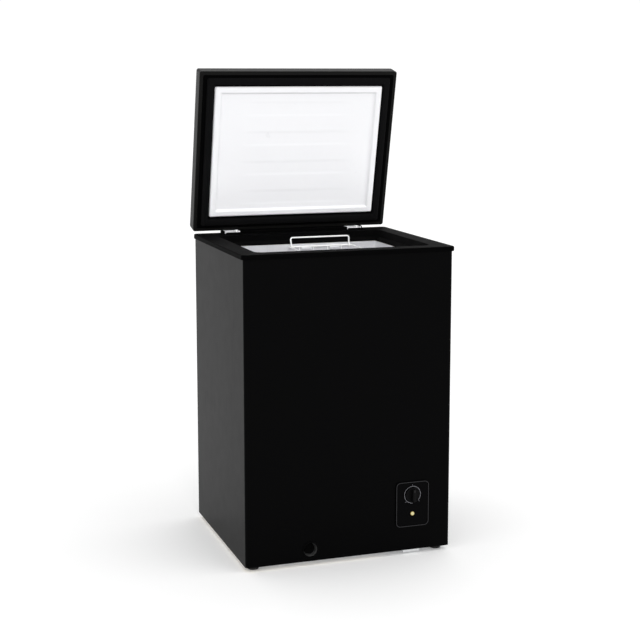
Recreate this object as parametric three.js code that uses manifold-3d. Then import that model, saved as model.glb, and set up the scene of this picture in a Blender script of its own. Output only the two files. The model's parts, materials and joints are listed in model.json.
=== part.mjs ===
// Small chest freezer, lid standing open, one wire basket inside.
// Millimetres, +Z up. Front is -Y, right is +X. Everything is drawn about the middle of the
// cabinet's footprint and moved at the end so the origin lies under the whole open object.
import * as THREE from 'three';
import { mergeVertices } from 'three/addons/utils/BufferGeometryUtils.js';
import Module from 'manifold-3d';

const wasm = await Module();
wasm.setup();

// ---------------------------------------------------------------- driving dimensions
const BODY_W = 546; // steel body, side to side
const BODY_D = 476; // steel body, front to back
const FOOT_H = 12; // floor to the underside of the body
const WRAP_TOP = 781; // top edge of the steel body
const COLLAR_TOP = 791; // flat top of the plastic collar
const SHEET = 1; // steel and aluminium sheet
const GAP = 0.3; // working gap between neighbouring pieces
const WRAP_R = 8; // front vertical corners
const XS = BODY_W / 2;
const YS = BODY_D / 2;

const LEDGE_Z = 777; // foot of the collar's inner slope
const LINER_TOP = 765; // top edge of the aluminium liner
const CAVITY = { x: 209, y0: -176, y1: 138.5, floor: 82 }; // storage space
const STEP = { x: 38, z: 310 }; // raised floor over the compressor
const BAY = { x: 86, z: 260 }; // compressor bay, right of x and below z
const LINER_R = 9; // vertical corners of the storage space

const LID_W = 552;
const LID_Y0 = -237; // front edge of the lid when shut
const LID_Y1 = 203.5; // rear edge of the lid when shut
const RIM_Z = 800; // lower rim of the lid when shut
const LID_T = 44; // rim to outer top
const LID_OPEN = 77; // degrees between shut and the stored, open pose
const PIN = { y: 224, z: 768, r: 4, bore: 4.4, head: 0.5 }; // lid pivot line, along X
const HINGE_X = 174.8; // middle of each hinge
const ARM_W = 37; // hinge arm across
const SPRING = { turns: 5, perTurn: 8, length: 17, r: 7, wire: 1.2 };
const POCKET_W = 43.4; // pocket in the rear wall for a hinge
const POCKET_Y = 203; // front wall of that pocket
const POCKET_Z = 746; // floor of that pocket
const KERB = { y: 197.5, h: 4 }; // low kerb on the deck in front of that pocket

const PANEL = { x: 168.4, z: 133, w: 90, h: 118, r: 12 }; // control panel on the front
const KNOB = { z: 157.5, r: 19.4 };
const LAMP = { z: 108, r: 5.6 };
const DRAIN = { x: -105, z: 42, y: -140 }; // outlet on the front, inlet in the floor
const DRAIN_CUP = { r: 18.4, wall: 1.2, depth: 15, lip: 21 }; // recess that the outlet's cap sits in

const BASKET = { x0: -41, x1: 135, y0: -167, y1: 129, rim: 758, bottom: 572, taper: 16 };
const WIRE = 2; // radius of the basket's rim wire
const THIN_WIRE = 1.6;

// ---------------------------------------------------------------- solids helpers
const STEEL_BLACK = { color: 0x0b0b0c, roughness: 0.38, metalness: 0.2 };
const PLASTIC_BLACK = { color: 0x0e0e0f, roughness: 0.5, metalness: 0 };
const ZINC = { color: 0xc9ccd0, roughness: 0.28, metalness: 0.95 };
const GALVANISED = { color: 0x9ea2a5, roughness: 0.45, metalness: 0.85 };
const ALUMINIUM = { color: 0xc4c7ca, roughness: 0.35, metalness: 0.8 };
const FOAM = { color: 0xd8c79a, roughness: 0.95, metalness: 0 };
const WHITE_PLASTIC = { color: 0xf2f3f5, roughness: 0.35, metalness: 0 };
const RUBBER = { color: 0x161617, roughness: 0.8, metalness: 0 };
const WHITE_WIRE = { color: 0xf4f4f2, roughness: 0.3, metalness: 0 };
const COPPER = { color: 0xb4663c, roughness: 0.35, metalness: 0.95 };

function solidOf(geometry) {
  const bare = geometry.clone();
  for (const name of Object.keys(bare.attributes)) {
    if (name !== 'position') bare.deleteAttribute(name);
  }
  const merged = mergeVertices(bare, 1e-4);
  const vertProperties = new Float32Array(merged.attributes.position.array);
  const triVerts = new Uint32Array(merged.index.array);
  return new wasm.Manifold(new wasm.Mesh({ numProp: 3, vertProperties, triVerts }));
}

function geometryOf(solid) {
  const { vertProperties, triVerts } = solid.getMesh();
  const geometry = new THREE.BufferGeometry();
  geometry.setAttribute('position', new THREE.BufferAttribute(new Float32Array(vertProperties), 3));
  geometry.setIndex(new THREE.BufferAttribute(new Uint32Array(triVerts), 1));
  geometry.computeVertexNormals();
  return geometry;
}

function join(parts) {
  return geometryOf(parts.map(solidOf).reduce((a, b) => a.add(b)));
}

function cut(base, tools) {
  return geometryOf(tools.map(solidOf).reduce((a, b) => a.subtract(b), solidOf(base)));
}

function box(x0, x1, y0, y1, z0, z1) {
  const geometry = new THREE.BoxGeometry(x1 - x0, y1 - y0, z1 - z0);
  return geometry.translate((x0 + x1) / 2, (y0 + y1) / 2, (z0 + z1) / 2);
}

// Round bar between two heights along an axis; (a, b) are the other two coordinates.
function bar(axis, a, b, from, to, radius, segments = 20) {
  const geometry = new THREE.CylinderGeometry(radius, radius, to - from, segments);
  const mid = (from + to) / 2;
  if (axis === 'x') return geometry.rotateZ(Math.PI / 2).translate(mid, a, b);
  if (axis === 'y') return geometry.translate(a, mid, b);
  return geometry.rotateX(Math.PI / 2).translate(a, b, mid);
}

function shapeOf(points) {
  return new THREE.Shape(points.map(([a, b]) => new THREE.Vector2(a, b)));
}

function extruded(shape, depth) {
  return new THREE.ExtrudeGeometry(shape, { depth, bevelEnabled: false, curveSegments: 5 });
}

// Outline in (y, z), carried along X.
function alongX(points, x0, x1) {
  const turn = new THREE.Matrix4().set(0, 0, 1, x0, 1, 0, 0, 0, 0, 1, 0, 0, 0, 0, 0, 1);
  return extruded(shapeOf(points), x1 - x0).applyMatrix4(turn);
}

// Outline in (x, z), carried along Y from y1 down to y0.
function alongY(shape, y0, y1) {
  const turn = new THREE.Matrix4().set(1, 0, 0, 0, 0, 0, -1, y1, 0, 1, 0, 0, 0, 0, 0, 1);
  return extruded(shape, y1 - y0).applyMatrix4(turn);
}

function roundedShape(cx, cy, w, h, r) {
  const shape = new THREE.Shape();
  const [x0, x1, y0, y1] = [cx - w / 2, cx + w / 2, cy - h / 2, cy + h / 2];
  shape.moveTo(x0 + r, y0).lineTo(x1 - r, y0);
  shape.absarc(x1 - r, y0 + r, r, -Math.PI / 2, 0);
  shape.lineTo(x1, y1 - r).absarc(x1 - r, y1 - r, r, 0, Math.PI / 2);
  shape.lineTo(x0 + r, y1).absarc(x0 + r, y1 - r, r, Math.PI / 2, Math.PI);
  shape.lineTo(x0, y0 + r).absarc(x0 + r, y0 + r, r, Math.PI, 1.5 * Math.PI);
  return shape;
}

// One level of a lofted piece: a rounded rectangle at height z.
function ring(x0, x1, y0, y1, r, z, steps = 4) {
  const centres = [[x1 - r, y0 + r], [x1 - r, y1 - r], [x0 + r, y1 - r], [x0 + r, y0 + r]];
  return centres.flatMap(([cx, cy], corner) =>
    Array.from({ length: steps + 1 }, (_, i) => {
      const angle = (corner - 1 + i / steps) * (Math.PI / 2);
      return [cx + r * Math.cos(angle), cy + r * Math.sin(angle), z];
    }));
}

// Skin through a run of equal rings. A hoop closes on itself, otherwise both ends are capped.
function loft(rings, hoop = false) {
  const n = rings[0].length;
  const index = [];
  const spans = hoop ? rings.length : rings.length - 1;
  for (let k = 0; k < spans; k++) {
    const low = k * n;
    const high = ((k + 1) % rings.length) * n;
    for (let i = 0; i < n; i++) {
      const j = (i + 1) % n;
      index.push(low + i, low + j, high + j, low + i, high + j, high + i);
    }
  }
  if (!hoop) {
    const last = (rings.length - 1) * n;
    for (let i = 1; i < n - 1; i++) {
      index.push(0, i + 1, i, last, last + i, last + i + 1);
    }
  }
  const points = rings.flat();
  let volume = 0;
  for (let t = 0; t < index.length; t += 3) {
    const [a, b, c] = [0, 1, 2].map((k) => new THREE.Vector3(...points[index[t + k]]));
    volume += a.dot(b.cross(c));
  }
  if (volume < 0) index.reverse();
  const geometry = new THREE.BufferGeometry();
  geometry.setAttribute('position', new THREE.Float32BufferAttribute(points.flat(), 3));
  geometry.setIndex(index);
  geometry.computeVertexNormals();
  return geometry;
}

// A bent wire: straight between its points, with a section at each point.
class WirePath extends THREE.Curve {
  constructor(points) {
    super();
    this.points = points.map((p) => new THREE.Vector3(...p));
  }
  getPoint(t, target = new THREE.Vector3()) {
    const spans = this.points.length - 1;
    const k = Math.min(Math.floor(t * spans + 1e-9), spans - 1);
    return target.lerpVectors(this.points[k], this.points[k + 1], t * spans - k);
  }
  getPointAt(t, target) {
    return this.getPoint(t, target);
  }
  getTangentAt(t, target = new THREE.Vector3()) {
    const k = Math.round(t * (this.points.length - 1));
    const before = this.points[Math.max(k - 1, 0)];
    const after = this.points[Math.min(k + 1, this.points.length - 1)];
    return target.subVectors(after, before).normalize();
  }
}

function wire(points, radius, sides = 6) {
  const section = new THREE.Shape();
  for (let i = 0; i < sides; i++) {
    const angle = (i / sides) * 2 * Math.PI;
    const [a, b] = [radius * Math.cos(angle), radius * Math.sin(angle)];
    if (i === 0) section.moveTo(a, b);
    else section.lineTo(a, b);
  }
  const extrudePath = new WirePath(points);
  return new THREE.ExtrudeGeometry(section, { steps: points.length - 1, extrudePath });
}

// Turns sharp corners of a polyline into short arcs.
function eased(points, r, steps = 2) {
  const out = [points[0]];
  for (let k = 1; k < points.length - 1; k++) {
    const p = new THREE.Vector3(...points[k]);
    const toBack = new THREE.Vector3(...points[k - 1]).sub(p);
    const toNext = new THREE.Vector3(...points[k + 1]).sub(p);
    const a = p.clone().addScaledVector(toBack.clone().normalize(), r);
    const b = p.clone().addScaledVector(toNext.clone().normalize(), r);
    const arc = new THREE.QuadraticBezierCurve3(a, p, b);
    for (let i = 0; i <= steps; i++) out.push(arc.getPoint(i / steps).toArray());
  }
  out.push(points[points.length - 1]);
  return out;
}

function lathed(profile, segments = 24) {
  return new THREE.LatheGeometry(profile.map(([r, h]) => new THREE.Vector2(r, h)), segments);
}

const group = new THREE.Group();
const freezer = new THREE.Group();
group.name = 'chest_freezer';
group.add(freezer);

function piece(name, geometry, look, parent = freezer) {
  const mesh = new THREE.Mesh(geometry, new THREE.MeshStandardMaterial(look));
  mesh.name = name;
  parent.add(mesh);
  return mesh;
}

const SIDES = [['left', -1], ['right', 1]];

// ---------------------------------------------------------------- cabinet skin
// Plan outline of the body, drawn inwards by t: rounded at the front, square at the back.
function bodyOutline(t, back) {
  const r = WRAP_R - t;
  const shape = new THREE.Shape();
  shape.moveTo(-XS + t, back);
  shape.lineTo(-XS + t, -YS + t + r);
  shape.absarc(-XS + t + r, -YS + t + r, r, Math.PI, 1.5 * Math.PI);
  shape.lineTo(XS - t - r, -YS + t);
  shape.absarc(XS - t - r, -YS + t + r, r, 1.5 * Math.PI, 2 * Math.PI);
  shape.lineTo(XS - t, back);
  return shape;
}

function upright(shape, z0, z1) {
  return extruded(shape, z1 - z0).translate(0, 0, z0);
}

const backEdge = YS - SHEET - GAP;
const shaftHole = bar('y', PANEL.x, KNOB.z, -YS - 6, -YS + 6, 4.5);
const lampHole = bar('y', PANEL.x, LAMP.z, -YS - 6, -YS + 6, 6.2);
const drainHole = bar('y', DRAIN.x, DRAIN.z, -YS - 6, -YS + 6, DRAIN_CUP.r + 0.5, 32);

piece('cabinet_wrap', cut(upright(bodyOutline(0, backEdge), FOOT_H, WRAP_TOP), [
  upright(bodyOutline(SHEET, YS + 5), FOOT_H - 5, WRAP_TOP + 5),
  shaftHole, lampHole, drainHole,
]), STEEL_BLACK);

const pockets = SIDES.map(([, s]) => {
  const x = s * HINGE_X;
  return box(x - POCKET_W / 2, x + POCKET_W / 2, POCKET_Y, YS + 20, POCKET_Z, COLLAR_TOP + 20);
});

const BAY_DOOR = { x0: 98, x1: 262, z0: 24, z1: 248 };
piece('rear_panel', cut(box(-XS, XS, YS - SHEET, YS, FOOT_H, WRAP_TOP), [
  ...pockets,
  box(BAY_DOOR.x0, BAY_DOOR.x1, YS - 5, YS + 5, BAY_DOOR.z0, BAY_DOOR.z1),
]), STEEL_BLACK);

const innerX = XS - SHEET - GAP;
const innerFront = -YS + SHEET + GAP;
piece('base_panel',
  box(-innerX + 7, BAY.x - GAP, innerFront + 7, backEdge - GAP, FOOT_H, FOOT_H + 1.2), GALVANISED);

// ---------------------------------------------------------------- insulation and storage space
const foamBottom = FOOT_H + 1.5;
const FOAM_TOP = COLLAR_TOP - 4.4;
const linerOut = SHEET + GAP;

function cavitySolid(t, top) {
  const { x, y0, y1, floor } = CAVITY;
  const deep = loft([floor - t, top].map((z) => ring(-x - t, STEP.x + t, y0 - t, y1 + t, LINER_R + t, z)));
  const shallow = loft([STEP.z - t, top].map((z) => ring(-x - t, x + t, y0 - t, y1 + t, LINER_R + t, z)));
  return join([deep, shallow]);
}

// A level of the opening: insets from the body's sides, front and rear.
function openingRing(side, front, rear, r, z) {
  return ring(-XS + side, XS - side, -YS + front, YS - rear, r, z);
}

const drainBores = (r, mouth) => [
  bar('z', DRAIN.x, DRAIN.y, DRAIN.z, CAVITY.floor + 1, r, 16),
  bar('y', DRAIN.x, DRAIN.z, mouth, DRAIN.y + r, r, 16),
];

piece('foam_body', cut(upright(bodyOutline(SHEET + GAP, backEdge - GAP), foamBottom, FOAM_TOP), [
  box(BAY.x - GAP, XS + 5, -YS - 5, YS + 5, 0, BAY.z + SHEET + GAP),
  cavitySolid(linerOut, LINER_TOP - 1),
  loft([
    openingRing(59, 57, 94.5, 12.5, LINER_TOP - 1.2),
    openingRing(50.4, 48.4, 87.4, 18, LEDGE_Z - 3.7),
    openingRing(39.4, 35.4, 74.4, 18, FOAM_TOP + 0.1),
    openingRing(39.4, 35.4, 74.4, 18, COLLAR_TOP),
  ]),
  ...pockets,
  ...drainBores(10.3, -YS - 1),
  bar('y', DRAIN.x, DRAIN.z, -YS - 1, -YS + DRAIN_CUP.depth + 2, DRAIN_CUP.r + 0.6, 32),
]), FOAM);

piece('inner_liner', cut(cavitySolid(SHEET, LINER_TOP - 0.6), [
  cavitySolid(0, LINER_TOP + 5),
  bar('z', DRAIN.x, DRAIN.y, CAVITY.floor - 5, CAVITY.floor + 5, 8.5, 16),
]), ALUMINIUM);

// ---------------------------------------------------------------- collar round the opening
const collarRings = [
  openingRing(-5, -5, -5, 12, COLLAR_TOP - 12),
  openingRing(-5, -5, -5, 12, COLLAR_TOP - 2.6),
  openingRing(-4.1, -4.1, -4.1, 11, COLLAR_TOP - 0.8),
  openingRing(-2.4, -2.4, -2.4, 10, COLLAR_TOP),
  openingRing(42, 38, 77, 20, COLLAR_TOP),
  openingRing(54, 52, 91, 20, LEDGE_Z),
  openingRing(51.4, 49.4, 88.4, 20, LEDGE_Z - 2.8),
  openingRing(40.4, 36.4, 75.4, 20, COLLAR_TOP - 4),
  openingRing(-GAP, -GAP, -GAP, 1, COLLAR_TOP - 4),
  openingRing(-GAP, -GAP, -GAP, 1, COLLAR_TOP - 12),
];
const kerbOutline = [
  [POCKET_Y, COLLAR_TOP - 1], [POCKET_Y, COLLAR_TOP + KERB.h], [KERB.y + 2, COLLAR_TOP + KERB.h],
  [KERB.y, COLLAR_TOP], [KERB.y, COLLAR_TOP - 1],
];
const kerbs = SIDES.map(([, s]) =>
  alongX(kerbOutline, s * HINGE_X - POCKET_W / 2, s * HINGE_X + POCKET_W / 2));
piece('top_collar', join([cut(loft(collarRings, true), pockets), ...kerbs]), PLASTIC_BLACK);

piece('breaker_frame', loft([
  openingRing(54.4, 52.4, 91.4, 20, LEDGE_Z - 0.5),
  openingRing(64, 62, 99.5, LINER_R, LINER_TOP + 2.4),
  openingRing(64, 62, 99.5, LINER_R, LINER_TOP),
  openingRing(60.4, 58.4, 95.9, LINER_R + 3, LINER_TOP),
  openingRing(51.8, 49.8, 88.8, 20, LEDGE_Z - 3.4),
], true), PLASTIC_BLACK);

// ---------------------------------------------------------------- hinges
const DECK = COLLAR_TOP + GAP;
const HINGE_TOP = COLLAR_TOP + 7;
const PLATE_X = POCKET_W / 2 - 1.2; // outer face of a bracket's ears, from the hinge's middle
const capIn = PLATE_X + 0.4;
const CAP_W = 6;
piece('hinge_rail_cover',
  loft([[0, DECK], [0, HINGE_TOP - 2], [2, HINGE_TOP]].map(([e, z]) =>
    ring(-HINGE_X + capIn + e, HINGE_X - capIn - e, 206 + e, 243 - e, 3, z))),
  PLASTIC_BLACK);

for (const [side, s] of SIDES) {
  const x = s * HINGE_X;
  const capX = x + s * (capIn + CAP_W / 2);
  piece(`hinge_cap_${side}`, loft([[0, DECK], [0, HINGE_TOP - 2], [1.5, HINGE_TOP]].map(([e, z]) =>
    ring(capX - CAP_W / 2 + e, capX + CAP_W / 2 - e, 220 + e, 243 - e, 1.2, z))), PLASTIC_BLACK);

  const ear = [
    [240.3, 748.5], [240.3, 791], [234, 797], [214, 797], [209, 791], [209, 774], [213, 762], [222, 751],
  ];
  const bracket = join([
    box(x - PLATE_X, x + PLATE_X, YS + GAP, YS + GAP + 2, 684, 754),
    alongX(ear, x - PLATE_X, x - PLATE_X + 2),
    alongX(ear, x + PLATE_X - 2, x + PLATE_X),
  ]);
  piece(`hinge_bracket_${side}`, cut(bracket, [
    bar('x', PIN.y, PIN.z, x - 40, x + 40, PIN.bore, 24),
  ]), ZINC);

  const headX = x + s * (PLATE_X + GAP + PIN.head / 2);
  piece(`hinge_pin_${side}`, join([
    bar('x', PIN.y, PIN.z, x - PLATE_X - 0.6, x + PLATE_X + 0.6, PIN.r, 24),
    bar('x', PIN.y, PIN.z, headX - PIN.head / 2, headX + PIN.head / 2, PIN.r + 2, 24),
  ]), ZINC);

  const { turns, perTurn, length, r } = SPRING;
  const coil = Array.from({ length: turns * perTurn + 1 }, (_, i) => {
    const angle = (i / perTurn) * 2 * Math.PI;
    const along = (i / (turns * perTurn) - 0.5) * length;
    return [x + along, PIN.y + r * Math.cos(angle), PIN.z + r * Math.sin(angle)];
  });
  piece(`hinge_spring_${side}`, wire(coil, SPRING.wire), ZINC);
}

// ---------------------------------------------------------------- lid, built shut and turned open
const lid = new THREE.Group();
lid.position.set(0, PIN.y, PIN.z);
lid.rotation.x = -THREE.MathUtils.degToRad(LID_OPEN);
freezer.add(lid);

function lidPiece(name, geometry, look) {
  const mesh = piece(name, geometry, look, lid);
  mesh.position.set(0, -PIN.y, -PIN.z);
}

// A level of the lid: insets from its sides, front and rear.
function lidRing(side, front, rear, r, z) {
  return ring(-LID_W / 2 + side, LID_W / 2 - side, LID_Y0 + front, LID_Y1 - rear, r, z);
}
const evenRing = (e, r, z) => lidRing(e, e, e, r, z);

const lidTop = RIM_Z + LID_T;
const SKIN = 1.2;
lidPiece('lid_shell', loft([
  evenRing(7, 3, lidTop),
  evenRing(3, 4.5, lidTop - 1.4),
  evenRing(0.8, 5.5, lidTop - 4),
  evenRing(0, 6, lidTop - 8),
  evenRing(0, 6, RIM_Z + 2),
  evenRing(1.6, 5, RIM_Z),
  evenRing(14, 3, RIM_Z),
  evenRing(14, 3, RIM_Z + SKIN),
  evenRing(SKIN + 0.6, 4.5, RIM_Z + SKIN + 1),
  evenRing(SKIN, 5, RIM_Z + 4),
  evenRing(SKIN, 5, lidTop - 8),
  evenRing(2, 4.5, lidTop - 4.6),
  evenRing(4, 3.6, lidTop - SKIN - 1.2),
  evenRing(7.5, 3, lidTop - SKIN),
]), STEEL_BLACK);

// Insets of the white inner panel: sides, front and rear.
const WHITE = { side: 42, front: 40.5, rear: 42.4 };
const whiteRing = (e, r, z) => lidRing(WHITE.side + e, WHITE.front + e, WHITE.rear + e, r, z);
lidPiece('lid_liner', loft([
  whiteRing(19, 3, RIM_Z - 2.6),
  whiteRing(15, 3, RIM_Z - 7.8),
  whiteRing(1.5, 4.5, RIM_Z - 7.8),
  whiteRing(-1, 5, RIM_Z),
  evenRing(14.4, 3, RIM_Z),
  evenRing(14.4, 3, RIM_Z + 2),
  whiteRing(0.8, 4, RIM_Z + 2),
  whiteRing(3.5, 3, RIM_Z - 5.8),
  whiteRing(14, 2, RIM_Z - 5.8),
  whiteRing(18, 2, RIM_Z - 0.6),
]), WHITE_PLASTIC);

lidPiece('lid_foam', loft([
  whiteRing(17.6, 2, RIM_Z - 0.2),
  whiteRing(13.6, 2, RIM_Z - 5.4),
  whiteRing(4, 3, RIM_Z - 5.4),
  whiteRing(1.2, 4, RIM_Z + 2.4),
  evenRing(4, 4, RIM_Z + 3.4),
  evenRing(1.6, 4.6, RIM_Z + 5),
  evenRing(1.6, 4.6, lidTop - 8.2),
  evenRing(2.4, 4.2, lidTop - 5),
  evenRing(4.5, 3.6, lidTop - 2.9),
  evenRing(7.8, 3, lidTop - 1.8),
]), FOAM);

// Bellows gasket: flat foot on the lid, rounded magnetic lip that meets the collar.
const sealRing = (e, r, z) => lidRing(20 + e, 16.5 + e, 16.1 + e, r, z);
lidPiece('lid_gasket', loft([
  sealRing(0, 6, RIM_Z - 0.3),
  sealRing(0, 6, RIM_Z - 2.4),
  sealRing(3, 5, RIM_Z - 3.6),
  sealRing(1.6, 5.4, RIM_Z - 6),
  sealRing(2.4, 5.2, RIM_Z - 8),
  sealRing(4, 5, RIM_Z - 8.6),
  sealRing(15, 4, RIM_Z - 8.6),
  sealRing(17.2, 4, RIM_Z - 7),
  sealRing(17.6, 4, RIM_Z - 3.6),
  sealRing(20.2, 4, RIM_Z - 1.8),
  sealRing(20.2, 4, RIM_Z - 0.3),
], true), RUBBER);

for (const [side, s] of SIDES) {
  const x = s * HINGE_X;
  const back = LID_Y1 + GAP;
  const leaf = [
    [back, 834], [back, 795], [216.5, 772], [219, 768], [223, 773], [back + 2.6, 796], [back + 2.6, 834],
  ];
  const arm = join([
    alongX(leaf, x - ARM_W / 2, x + ARM_W / 2),
    bar('x', PIN.y, PIN.z, x - ARM_W / 2, x + ARM_W / 2, 8, 24),
  ]);
  lidPiece(`hinge_arm_${side}`, cut(arm, [
    bar('x', PIN.y, PIN.z, x - 40, x + 40, PIN.bore, 24),
    bar('x', PIN.y, PIN.z, x - SPRING.length / 2 - 2, x + SPRING.length / 2 + 2, SPRING.r + 3.5, 24),
  ]), ZINC);
}

// ---------------------------------------------------------------- control panel
const front = -YS - GAP;
const bezelFace = front - 2.4;
piece('control_bezel', cut(join([
  alongY(roundedShape(PANEL.x, PANEL.z, PANEL.w, PANEL.h, PANEL.r), bezelFace, front),
  cut(alongY(roundedShape(PANEL.x, PANEL.z, PANEL.w, PANEL.h, PANEL.r), bezelFace - 1, front), [
    alongY(roundedShape(PANEL.x, PANEL.z, PANEL.w - 5, PANEL.h - 5, PANEL.r - 2.5), bezelFace - 5, front + 5),
  ]),
]), [
  shaftHole,
  bar('y', PANEL.x, LAMP.z, -YS - 6, -YS + 6, 6.2),
]), PLASTIC_BLACK);

// Turning knob: dial, raised grip and shaft in one moulding.
const dialBack = bezelFace - GAP;
piece('control_knob', join([
  lathed([[0, 0], [KNOB.r, 0], [KNOB.r, 3], [KNOB.r - 1.5, 5], [0, 5]], 36)
    .rotateX(Math.PI).translate(PANEL.x, dialBack, KNOB.z),
  alongY(roundedShape(PANEL.x, KNOB.z, 9, 2 * KNOB.r - 5, 4), dialBack - 15, dialBack - 2),
  bar('y', PANEL.x, KNOB.z, dialBack - 2, -YS + 14, 3.5, 16),
]), PLASTIC_BLACK);

piece('indicator_lens', lathed([
  [0, 0], [LAMP.r, 0], [LAMP.r, 5.4], [4.4, 6.8], [2.2, 7.6], [0, 7.9],
], 20).rotateX(Math.PI).translate(PANEL.x, -YS + 3.4, LAMP.z), {
  color: 0xf0c24a, roughness: 0.15, metalness: 0,
});
function behindPanel(halfX, halfZ, y0, y1, z) {
  return box(PANEL.x - halfX, PANEL.x + halfX, -YS + y0, -YS + y1, z - halfZ, z + halfZ);
}
piece('lamp_holder', behindPanel(9, 9, 3.8, 24, LAMP.z), WHITE_PLASTIC);
piece('thermostat_body', behindPanel(22, 15, 14.5, 42, KNOB.z), ZINC);

// ---------------------------------------------------------------- defrost drain
const drainFace = -YS - GAP;
const cupBack = -DRAIN_CUP.depth - 1.4;
const cupIn = DRAIN_CUP.r - DRAIN_CUP.wall;
piece('drain_escutcheon', lathed([
  [11, cupBack], [DRAIN_CUP.r, cupBack], [DRAIN_CUP.r, 0], [DRAIN_CUP.lip, 0], [DRAIN_CUP.lip, 1],
  [DRAIN_CUP.lip - 1, 1.6], [cupIn, 1.6], [cupIn, -DRAIN_CUP.depth], [11, -DRAIN_CUP.depth], [11, cupBack],
], 32).rotateX(Math.PI).translate(DRAIN.x, drainFace, DRAIN.z), PLASTIC_BLACK);
piece('drain_tube', cut(join(drainBores(10, drainFace - cupBack + 0.6)), [
  bar('z', DRAIN.x, DRAIN.y, DRAIN.z, CAVITY.floor + 20, 7.8, 16),
  bar('y', DRAIN.x, DRAIN.z, -YS - 20, DRAIN.y, 7.8, 16),
  box(DRAIN.x - 30, DRAIN.x + 30, DRAIN.y - 30, DRAIN.y + 30, CAVITY.floor - SHEET - GAP, CAVITY.floor + 30),
]), WHITE_PLASTIC);
piece('drain_cap', lathed([
  [0, -14], [6.6, -14], [7.4, 0], [8, 0.3], [14.4, 0.3], [14.4, 4], [12.4, 6], [4, 6], [0, 5.4],
], 32).rotateX(Math.PI).translate(DRAIN.x, drainFace + DRAIN_CUP.depth, DRAIN.z), PLASTIC_BLACK);
piece('drain_plug', lathed([
  [0, -10], [6.4, -10], [7.2, 0.4], [12, 0.4], [12, 2.4], [4, 3.4], [4, 10], [0, 10],
], 20).rotateX(Math.PI / 2).translate(DRAIN.x, DRAIN.y, CAVITY.floor), RUBBER);

// ---------------------------------------------------------------- compressor bay
piece('bay_partition', join([
  box(BAY.x, BAY.x + SHEET, innerFront + 7, backEdge - GAP, FOOT_H + 3, BAY.z + SHEET),
  box(BAY.x, innerX - 1, innerFront + 7, backEdge - GAP, BAY.z, BAY.z + SHEET),
]), GALVANISED);

const BASE_TAB = { x0: 145, x1: 190, z: 6 };
piece('compressor_base_plate', join([
  box(BAY.x, innerX, innerFront + 7, backEdge - GAP, FOOT_H, FOOT_H + 1.6),
  box(BASE_TAB.x0, BASE_TAB.x1, innerFront, innerFront + 30, BASE_TAB.z, FOOT_H + 1),
]), GALVANISED);

const COMP = { x: 182, y: 112, foot: 28 };
const compFoot = loft([COMP.foot, COMP.foot + 3].map((z) =>
  ring(COMP.x - 76, COMP.x + 76, COMP.y - 62, COMP.y + 62, 14, z)));
piece('compressor', join([
  lathed([
    [0, 0], [44, 0], [60, 10], [64, 26], [64, 84], [66.5, 86], [66.5, 92], [64, 94], [60, 116],
    [42, 136], [0, 144],
  ], 32).rotateX(Math.PI / 2).translate(COMP.x, COMP.y, COMP.foot + 1),
  compFoot,
]), PLASTIC_BLACK);
let mount = 0;
for (const sx of [-1, 1]) {
  for (const sy of [-1, 1]) {
    mount += 1;
    piece(`compressor_mount_${mount}`, lathed([
      [0, 0], [9, 0], [11, 3], [8, 7], [10, 12], [7, 13.8], [0, 13.8],
    ], 16).rotateX(Math.PI / 2).translate(COMP.x + sx * 62, COMP.y + sy * 50, FOOT_H + 1.9), RUBBER);
  }
}
piece('relay_box', box(COMP.x - 24, COMP.x + 24, COMP.y - 104, COMP.y - 68, 78, 136), PLASTIC_BLACK);
piece('filter_drier', lathed([
  [0, 0], [3, 0], [3, 12], [9, 18], [9, 92], [3, 98], [3, 110], [0, 110],
], 16).rotateX(Math.PI / 2).translate(116, -40, 84), COPPER);
piece('discharge_tube', wire(eased([
  [COMP.x - 40, COMP.y, 178], [COMP.x - 40, COMP.y, 216], [112, COMP.y, 216],
  [112, -120, 216], [112, -120, 258],
], 16), 3), COPPER);
piece('suction_tube', wire(eased([
  [COMP.x + 36, COMP.y, 180], [COMP.x + 36, COMP.y, 230], [COMP.x + 36, -60, 230], [COMP.x + 36, -60, 258],
], 16), 4), COPPER);

const slots = Array.from({ length: 9 }, (_, i) =>
  box(BAY_DOOR.x0 + 16, BAY_DOOR.x1 - 16, YS - 5, YS + 9, 98 + 15 * i, 104 + 15 * i));
const GLAND = { x: 128, z: 58 };
// Turns a plate drawn flat at the origin to stand against the rear panel.
const ontoRear = new THREE.Matrix4().set(
  -1, 0, 0, BAY_DOOR.x0 + BAY_DOOR.x1,
  0, 0, 1, YS + GAP,
  0, 1, 0, 0,
  0, 0, 0, 1,
);
const ventPlate = loft([[-8, 0], [-8, 2], [-6.5, 3.5]].map(([e, h]) =>
  ring(BAY_DOOR.x0 + e, BAY_DOOR.x1 - e, BAY_DOOR.z0 + e, BAY_DOOR.z1 - e, 8, h)));
piece('rear_vent_cover', cut(ventPlate.applyMatrix4(ontoRear), [
  ...slots, bar('y', GLAND.x, GLAND.z, YS - 5, YS + 9, 9),
]), PLASTIC_BLACK);
piece('cord_gland', cut(lathed([
  [0, -12], [8.6, -12], [8.6, 3.9], [13, 3.9], [13, 6], [8, 8], [6.5, 16], [0, 16],
], 20).translate(GLAND.x, YS + GAP, GLAND.z), [
  bar('y', GLAND.x, GLAND.z, YS - 4, YS + 30, 3.6, 12),
]), RUBBER);

// ---------------------------------------------------------------- feet
let foot = 0;
for (const sx of [-1, 1]) {
  for (const sy of [-1, 1]) {
    foot += 1;
    piece(`foot_${foot}`, lathed([
      [0, 0], [12.5, 0], [14, 1.5], [15, FOOT_H - 4], [15, FOOT_H - GAP], [0, FOOT_H - GAP],
    ], 24).rotateX(Math.PI / 2).translate(sx * (XS - 27), sy * (YS - 30), 0), PLASTIC_BLACK);
  }
}

// ---------------------------------------------------------------- basket
const midX = (BASKET.x0 + BASKET.x1) / 2;
const midY = (BASKET.y0 + BASKET.y1) / 2;

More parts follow.
